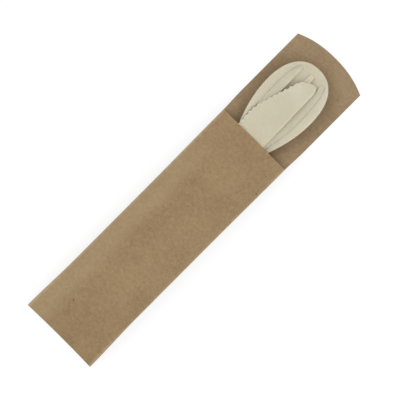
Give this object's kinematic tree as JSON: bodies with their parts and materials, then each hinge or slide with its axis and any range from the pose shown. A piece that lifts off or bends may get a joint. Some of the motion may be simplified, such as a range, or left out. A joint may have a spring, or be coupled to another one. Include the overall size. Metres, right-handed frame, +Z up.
{
  "type": "travel cutlery set",
  "caption": "Moulded spoon, fork and knife nested in a flat kraft card sleeve with an open end and a longer back panel.",
  "frame": {"origin": "centre of the object's bounding box, at the surface that the sleeve lies on", "axes": "+Y along the sleeve towards its open end, +X across the sleeve, +Z up, out of the front panel"},
  "size_m": [0.05, 0.223, 0.0092],
  "materials": {
    "kraft_card": "uncoated brown kraft card with fine fibre flecks",
    "cream_plastic": "cream moulded plant-filled plastic, satin"
  },
  "bodies": {
    "root": {"sleeve": "kraft_card", "spoon": "cream_plastic", "fork": "cream_plastic", "knife": "cream_plastic"}
  },
  "joints": []
}
